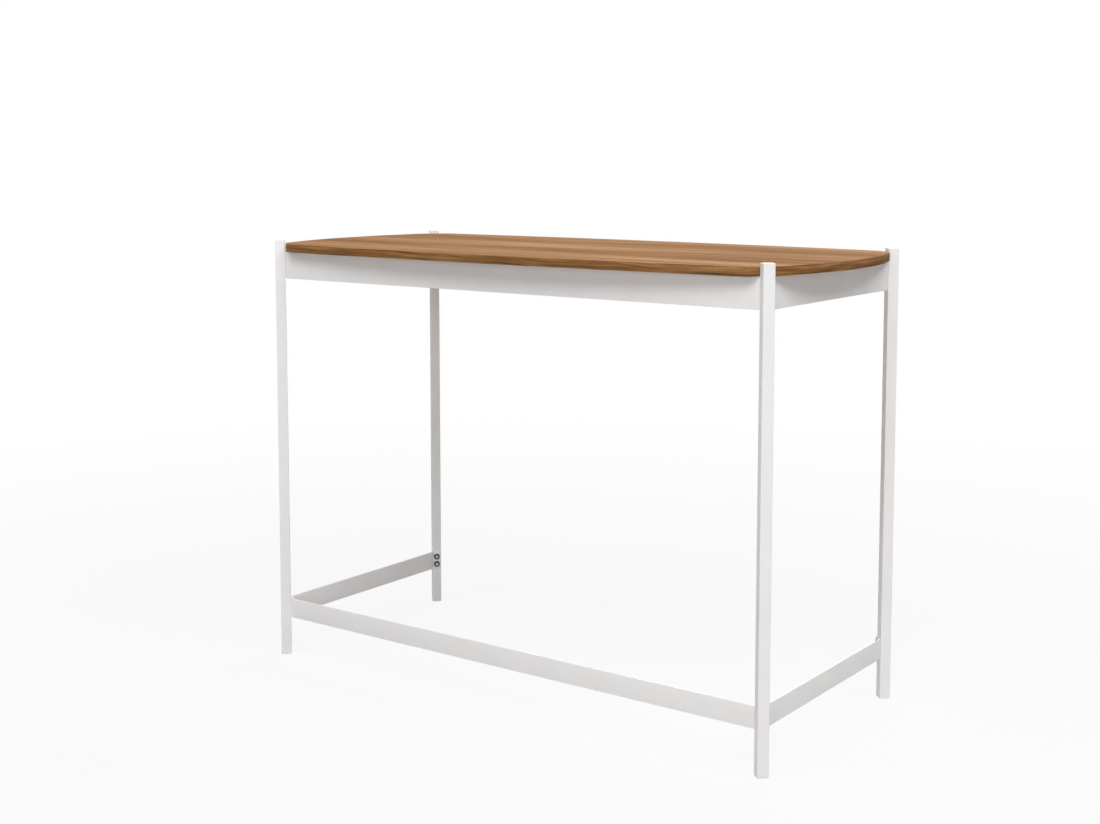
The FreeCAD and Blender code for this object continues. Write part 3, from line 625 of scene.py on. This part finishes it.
def vector_of(tree, x, y, z=0.0):
    """A place from its three coordinates."""
    return node(tree, "ShaderNodeCombineXYZ", {"X": x, "Y": y, "Z": z}).outputs["Vector"]


def noise(tree, place, scale, detail=2.0, roughness=0.5):
    """Smooth noise from about 0.2 to 0.8."""
    inputs = {"Vector": place, "Scale": scale, "Detail": detail, "Roughness": roughness}
    return node(tree, "ShaderNodeTexNoise", inputs).outputs["Fac"]


def stretch(tree, value, low, high, to_low=0.0, to_high=1.0):
    """A value carried from one range to another with soft ends."""
    inputs = {"Value": value, "From Min": low, "From Max": high, "To Min": to_low, "To Max": to_high}
    made = node(tree, "ShaderNodeMapRange", inputs, interpolation_type="SMOOTHSTEP")
    return made.outputs["Result"]


def ramp(tree, value, stops):
    """A colour from a row of stops, each a place from 0 to 1 and a colour."""
    made = node(tree, "ShaderNodeValToRGB", {"Fac": value})
    elements = made.color_ramp.elements
    elements[0].position, elements[0].color = stops[0]
    elements[1].position, elements[1].color = stops[-1]
    for place, colour in stops[1:-1]:
        elements.new(place).color = colour
    return made.outputs["Color"]


def mix_colour(tree, share, first, second, blend="MIX"):
    """Two colours blended by a share from 0 to 1."""
    inputs = {MIX_SHARE: share, MIX_FIRST: first, MIX_SECOND: second}
    made = node(tree, "ShaderNodeMix", inputs, data_type="RGBA", blend_type=blend)
    return made.outputs[MIX_RESULT]


def new_group(name, inputs, outputs):
    """An empty node group with named sockets; returns it with its entry and exit nodes."""
    group = bpy.data.node_groups.new(name, "ShaderNodeTree")
    for label, kind, value in inputs:
        socket = group.interface.new_socket(label, in_out="INPUT", socket_type=kind)
        if value is not None:
            socket.default_value = value
    for label in outputs:
        group.interface.new_socket(label, in_out="OUTPUT", socket_type="NodeSocketFloat")
    return group, group.nodes.new("NodeGroupInput"), group.nodes.new("NodeGroupOutput")


def grain_place(tree, along, across, finer):
    """A place in the grain, finer by one factor along it and another across it."""
    x = math_node(tree, "MULTIPLY", along, finer[0])
    return vector_of(tree, x, math_node(tree, "MULTIPLY", across, finer[1]))


def grain_group():
    """Wood grain on a place whose x runs along the grain and y across it.

    Figure is the broad streak with slow bands of tone in it, Lines the long thin dark lines of the
    growth rings, Fibre the fine fibres and Pores the short dark marks. All follow a place across the
    grain that a slow noise bends, and the bands are a sine of it."""
    group, enter, leave = new_group(
        "wood_grain",
        [
            ("Place", "NodeSocketVector", None),
            ("Streak Length", "NodeSocketFloat", 0.3),
            ("Streak Width", "NodeSocketFloat", 0.02),
            ("Band Spacing", "NodeSocketFloat", 0.2),
            ("Band Share", "NodeSocketFloat", 0.1),
        ],
        ["Figure", "Lines", "Fibre", "Pores"],
    )
    given = enter.outputs
    parts = node(group, "ShaderNodeSeparateXYZ", {"Vector": given["Place"]}).outputs
    along = math_node(group, "DIVIDE", parts["X"], given["Streak Length"])
    across = math_node(group, "DIVIDE", parts["Y"], given["Streak Width"])
    slow = noise(group, grain_place(group, along, across, SLOW_BEND), 1.0, detail=1.0)
    bend = math_node(group, "SUBTRACT", slow, 0.5)
    bent = math_node(group, "MULTIPLY_ADD", bend, STREAK_BEND, across)
    streak = noise(group, vector_of(group, along, bent), 1.0, detail=4.0, roughness=0.62)
    turn = math_node(group, "DIVIDE", parts["Y"], given["Band Spacing"])
    turn = math_node(group, "MULTIPLY_ADD", bend, BAND_BEND, turn)
    band = math_node(group, "SINE", math_node(group, "MULTIPLY", turn, 2 * math.pi))
    lines = noise(group, grain_place(group, along, bent, RING_LINES), 1.0, roughness=0.65)
    pores = noise(group, grain_place(group, along, bent, PORES), 1.0, detail=1.0)
    marks = {
        "Figure": math_node(group, "MULTIPLY_ADD", band, given["Band Share"], streak),
        "Lines": stretch(group, lines, *LINE_NOISE),
        "Fibre": noise(group, grain_place(group, along, bent, FIBRES), 1.0, roughness=0.6),
        "Pores": stretch(group, pores, *PORE_NOISE),
    }
    feed(group, leave, marks)
    return group


def skin_group():
    """The fine skin of a coating: Height for its tiny bumps and Mottle for slow changes of tone."""
    group, enter, leave = new_group(
        "coating_skin",
        [("Place", "NodeSocketVector", None), ("Bump Size", "NodeSocketFloat", 0.0006)],
        ["Height", "Mottle"],
    )
    place = enter.outputs["Place"]
    scale = math_node(group, "DIVIDE", 1.0, enter.outputs["Bump Size"])
    height = noise(group, place, scale, roughness=0.55)
    mottle = noise(group, place, PATCH_SCALE, detail=3.0, roughness=0.6)
    feed(group, leave, {"Height": height, "Mottle": mottle})
    return group


def new_material(name):
    """An empty material; returns it with its tree, its shader and the object's own coordinates."""
    material = bpy.data.materials.new(name)
    material.use_nodes = True
    tree = material.node_tree
    shader = tree.nodes["Principled BSDF"]
    place = node(tree, "ShaderNodeTexCoord").outputs["Object"]
    return material, tree, shader, place


def use_group(tree, group, inputs):
    """The outputs of a node group that is placed in a material with its own values."""
    return node(tree, "ShaderNodeGroup", inputs, node_tree=group).outputs


def bump(tree, height, distance, strength):
    """The normals of a surface with small heights on it."""
    inputs = {"Height": height, "Distance": distance, "Strength": strength}
    return node(tree, "ShaderNodeBump", inputs).outputs["Normal"]


def srgb(red, green, blue):
    """A colour given in the 0 to 255 steps of a screen, as the linear values that a shader takes."""
    steps = np.array([red, green, blue]) / 255
    linear = np.where(steps <= 0.04045, steps / 12.92, ((steps + 0.055) / 1.055) ** 2.4)
    return (*linear.tolist(), 1.0)


# Materials

FLAT_GRAIN = {
    "Streak Length": 0.45,
    "Streak Width": 0.016,
    "Band Spacing": 0.2,
    "Band Share": 0.09,
}
# the start also lays a light band of the grain along the back rim, a painted highlight there
FLAT_GRAIN_START_AND_RIM_HIGHLIGHT = (0.3, 0.23, 0.0)  # which stretch of the endless grain lies on the board
FLAT_TONES = [
    (0.0, srgb(118, 81, 46)),
    (0.32, srgb(149, 108, 69)),
    (0.55, srgb(162, 121, 82)),
    (0.78, srgb(178, 136, 97)),
    (1.0, srgb(196, 154, 115)),
]
EDGE_GRAIN = {
    "Streak Length": 0.13,
    "Streak Width": 0.0042,
    "Band Spacing": 0.02,
    "Band Share": 0.04,
}
EDGE_GRAIN_RISE = 0.01
EDGE_TONES = [
    (0.0, srgb(88, 57, 32)),
    (0.35, srgb(132, 92, 54)),
    (0.6, srgb(150, 108, 66)),
    (1.0, srgb(186, 140, 94)),
]
FIGURE_RANGE = (0.22, 0.78)  # of the figure's values, from the first tone to the last
LINE_COLOUR = srgb(92, 60, 33)
LINE_SHARE = 0.34
PORE_COLOUR = srgb(70, 44, 24)
PORE_SHARE = 0.5
PORE_HEIGHT = -0.6  # beside the fibres' height
FIBRE_SHADE = (0.25, 0.75, 0.82, 1.04)  # a range of the fibre's values and the shades it becomes
FOIL_ROUGHNESS = (0.2, 0.8, 0.66, 0.78)  # and the roughness
FOIL_BUMP = {"distance": 0.0002, "strength": 0.15}
FOIL_SPECULAR = 0.05

NOISE_RANGE = (0.3, 0.7)  # where most of a noise lies
WHITE_STEEL = {
    "tones": ((0.86, 0.847, 0.842, 1.0), (0.89, 0.878, 0.873, 1.0)),
    "bump_size": 0.0009,
    "bump_depth": 0.0001,
    "roughness": (0.4, 0.52),
}
WHITE_PLASTIC = {
    "tones": ((0.86, 0.848, 0.843, 1.0), (0.88, 0.868, 0.864, 1.0)),
    "bump_size": 0.0005,
    "bump_depth": 0.00004,
    "roughness": (0.46, 0.56),
}
COAT_BUMP = 0.25
COAT_SPECULAR = 0.25

PLATE_TONES = ((0.042, 0.042, 0.044, 1.0), (0.07, 0.07, 0.072, 1.0))
PLATE_BUMP_SIZE = 0.0004
PLATE_BUMP = {"distance": 0.00005, "strength": 0.2}
PLATE_ROUGHNESS = (0.26, 0.36)
PLATE_METALLIC = 0.8
PLATE_SPECULAR_TINT = (0.3, 0.3, 0.31, 1.0)
# the lighter colour of a fastener's key recess
RECESS_COLOUR = (0.5, 0.49, 0.48, 1.0)


def flat_grain(tree, place):
    """Grain along the desk: x along it, y across it. Its start also puts a light band of the grain near
    the back rim, a painted highlight.
    """
    inputs = {"Vector": place, "Location": FLAT_GRAIN_START_AND_RIM_HIGHLIGHT}
    return node(tree, "ShaderNodeMapping", inputs).outputs["Vector"]


def edge_grain(tree, place):
    """Grain along the edges: x + y grows along every side, and height is across the grain."""
    parts = node(tree, "ShaderNodeSeparateXYZ", {"Vector": place}).outputs
    run = math_node(tree, "ADD", parts["X"], parts["Y"])
    return vector_of(tree, run, math_node(tree, "ADD", parts["Z"], EDGE_GRAIN_RISE))


def walnut(name, group, place_of, grain_sizes, stops):
    """Matt walnut-look foil: figure sets the tone, fibres shade it, ring lines and pores darken it."""
    material, tree, shader, place = new_material(name)
    grain = use_group(tree, group, {"Place": place_of(tree, place), **grain_sizes})
    tone = ramp(tree, stretch(tree, grain["Figure"], *FIGURE_RANGE), stops)
    lines = math_node(tree, "MULTIPLY", grain["Lines"], LINE_SHARE)
    tone = mix_colour(tree, lines, tone, LINE_COLOUR)
    shade = stretch(tree, grain["Fibre"], *FIBRE_SHADE)
    grey = node(tree, "ShaderNodeCombineColor", {"Red": shade, "Green": shade, "Blue": shade})
    tone = mix_colour(tree, 1.0, tone, grey.outputs["Color"], "MULTIPLY")
    pores = math_node(tree, "MULTIPLY", grain["Pores"], PORE_SHARE)
    raised = math_node(tree, "MULTIPLY_ADD", grain["Pores"], PORE_HEIGHT, grain["Fibre"])
    finish = {
        "Base Color": mix_colour(tree, pores, tone, PORE_COLOUR),
        "Roughness": stretch(tree, grain["Fibre"], *FOIL_ROUGHNESS),
        "Specular IOR Level": FOIL_SPECULAR,
        "Normal": bump(tree, raised, **FOIL_BUMP),
    }
    feed(tree, shader, finish)
    return material


def coated(name, group, tones, bump_size, bump_depth, roughness):
    """A white coating: two close tones in slow patches, a fine skin and a satin gloss that varies with
    it."""
    material, tree, shader, place = new_material(name)
    skin = use_group(tree, group, {"Place": place, "Bump Size": bump_size})
    finish = {
        "Base Color": ramp(tree, skin["Mottle"], list(zip(NOISE_RANGE, tones))),
        "Roughness": stretch(tree, skin["Height"], *NOISE_RANGE, *roughness),
        "Specular IOR Level": COAT_SPECULAR,
        "Normal": bump(tree, skin["Height"], bump_depth, COAT_BUMP),
    }
    feed(tree, shader, finish)
    return material


def dark_steel(group):
    """Dark plated steel, with the key's recess coloured lighter."""
    material, tree, shader, place = new_material("dark_steel")
    skin = use_group(tree, group, {"Place": place, "Bump Size": PLATE_BUMP_SIZE})
    plate = ramp(tree, skin["Height"], list(zip(NOISE_RANGE, PLATE_TONES)))
    recess_mask = node(tree, "ShaderNodeAttribute", attribute_name=RECESS_MARK).outputs["Fac"]
    finish = {
        "Base Color": mix_colour(tree, recess_mask, plate, RECESS_COLOUR),
        "Metallic": PLATE_METALLIC,
        "Specular Tint": PLATE_SPECULAR_TINT,
        "Roughness": stretch(tree, skin["Mottle"], *NOISE_RANGE, *PLATE_ROUGHNESS),
        "Normal": bump(tree, skin["Height"], **PLATE_BUMP),
    }
    feed(tree, shader, finish)
    return material


def make_materials():
    """The finishes by the record's slot names."""
    grain = grain_group()
    skin = skin_group()
    return {
        "walnut_laminate": walnut("walnut_laminate", grain, flat_grain, FLAT_GRAIN, FLAT_TONES),
        "walnut_edge": walnut("walnut_edge", grain, edge_grain, EDGE_GRAIN, EDGE_TONES),
        "white_steel": coated("white_steel", skin, **WHITE_STEEL),
        "white_plastic": coated("white_plastic", skin, **WHITE_PLASTIC),
        "dark_steel": dark_steel(skin),
    }


def dress(materials, pieces):
    """Gives each CAD node and each new piece the finish of its slot."""
    for part in frame["record"]["subparts"]:
        shown = frame["nodes"][part["node"]]
        shown.data.materials.clear()
        shown.data.materials.append(materials[part["material_slot"]])
    for piece in pieces:
        piece.data.materials.append(materials[piece["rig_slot"]])


# Floor, light and camera

WHITE = (1.0, 1.0, 1.0, 1.0)
FLOOR_REACH = 14.0
FLOOR_LEVEL = -0.0001
FLOOR_COLOUR = (0.62, 0.62, 0.615, 1.0)
FLOOR_ROUGHNESS = 0.9
FLOOR_GLOW = 0.89  # share of white that is seen near the object
FLOOR_FADE = (0.9, 3.0)  # where the floor begins to fade into white, and where it has
WORLD_LIGHT = 0.02
LAMP_AIM = (0.0, 0.0, 0.45)
# each lamp's place, the point it faces, its width and height, and its watts
LAMPS = {
    "high_front": ((1.81, -2.49, 4.39), LAMP_AIM, (2.4, 2.4), 94.0),
    "high_right": ((3.0, -0.26, 4.44), LAMP_AIM, (2.0, 2.0), 94.0),
    "high_left": ((-1.03, -3.18, 4.17), LAMP_AIM, (2.4, 2.4), 78.0),
    "low_front": ((2.46, -4.26, 1.32), LAMP_AIM, (3.0, 1.4), 44.0),
    "high_behind": ((0.0, 3.54, 3.99), LAMP_AIM, (2.8, 2.4), 105.0),
    "low_behind": ((-1.9, 3.8, 0.42), (0.0, 0.0, 0.42), (1.6, 0.5), 60.0),
}
CAMERA_PLACE = (1.5882, -2.2412, 0.9247)
CAMERA_TURN = 36.15  # degrees round from straight across the desk
CAMERA_TILT = 5.48  # degrees down
CAMERA_SENSOR = 36.0  # millimetres
CAMERA_LENS = 52.16
CAMERA_SHIFT = -0.1


def seen_rays(tree):
    """1 for what the camera, reflections and glass see, and 0 for light that bounces; and 1 for the
    camera alone."""
    paths = node(tree, "ShaderNodeLightPath").outputs
    seen = math_node(tree, "MAXIMUM", paths["Is Camera Ray"], paths["Is Glossy Ray"])
    seen = math_node(tree, "MAXIMUM", seen, paths["Is Transmission Ray"])
    return seen, paths["Is Camera Ray"]


def make_floor():
    """A pale floor. The camera sees it nearly white, with a faint shadow near the object, and it fades
    into the white surroundings further out; the object gets its bounced light. From below it is
    clear."""
    plan = ((-1, -1), (1, -1), (1, 1), (-1, 1))
    corners = [(x * FLOOR_REACH, y * FLOOR_REACH, FLOOR_LEVEL) for x, y in plan]
    mesh = bpy.data.meshes.new("floor")
    mesh.from_pydata(corners, [], [(0, 1, 2, 3)])
    floor = show("floor", mesh)
    material, tree, shader, place = new_material("floor_paint")
    paint = {"Base Color": FLOOR_COLOUR, "Roughness": FLOOR_ROUGHNESS, "Specular IOR Level": 0.0}
    feed(tree, shader, paint)
    seen, by_camera = seen_rays(tree)
    glow = node(tree, "ShaderNodeEmission", {"Color": WHITE, "Strength": 1.0})
    away = node(tree, "ShaderNodeVectorMath", {0: place}, operation="LENGTH").outputs["Value"]
    share = math_node(tree, "MULTIPLY", seen, stretch(tree, away, *FLOOR_FADE, FLOOR_GLOW, 1.0))
    above = node(tree, "ShaderNodeMixShader", {0: share, 1: shader.outputs[0], 2: glow.outputs[0]})
    clear = node(tree, "ShaderNodeBsdfTransparent")
    below = node(tree, "ShaderNodeNewGeometry").outputs["Backfacing"]
    below = math_node(tree, "MULTIPLY", below, by_camera)
    shown = node(tree, "ShaderNodeMixShader", {0: below, 1: above.outputs[0], 2: clear.outputs[0]})
    feed(tree, tree.nodes["Material Output"], {"Surface": shown.outputs[0]})
    mesh.materials.append(material)


def make_world():
    """White surroundings: the camera and reflections see full white, and the object gets a softer
    share."""
    world = bpy.data.worlds.new("studio")
    bpy.context.scene.world = world
    world.use_nodes = True
    tree = world.node_tree
    seen, _ = seen_rays(tree)
    strength = math_node(tree, "MULTIPLY_ADD", seen, 1.0 - WORLD_LIGHT, WORLD_LIGHT)
    feed(tree, tree.nodes["Background"], {"Color": WHITE, "Strength": strength})


def make_lamp(name, place, aim, size, power):
    """A soft rectangular lamp that faces a point."""
    data = bpy.data.lights.new(name, "AREA")
    data.shape = "RECTANGLE"
    data.size, data.size_y = size
    data.energy = power
    lamp = show(name, data)
    lamp.location = place
    direction = Vector(aim) - Vector(place)
    lamp.rotation_euler = direction.to_track_quat("-Z", "Y").to_euler()


def make_camera():
    """The photograph's viewpoint: a long lens just above the board, tilted down, with part of the
    framing taken by lens shift so that the legs stay close to upright."""
    data = bpy.data.cameras.new("camera")
    data.sensor_width = CAMERA_SENSOR
    data.lens = CAMERA_LENS
    data.shift_y = CAMERA_SHIFT
    camera = show("camera", data)
    camera.location = CAMERA_PLACE
    camera.rotation_euler = (math.radians(90 - CAMERA_TILT), 0.0, math.radians(CAMERA_TURN))
    bpy.context.scene.camera = camera


pieces = make_board() + make_plugs() + make_rails() + make_bolts() + [make_screws()]
dress(make_materials(), pieces)
make_floor()
make_world()
for lamp_name, settings in LAMPS.items():
    make_lamp(lamp_name, *settings)
make_camera()
bpy.context.scene.view_settings.view_transform = "Standard"
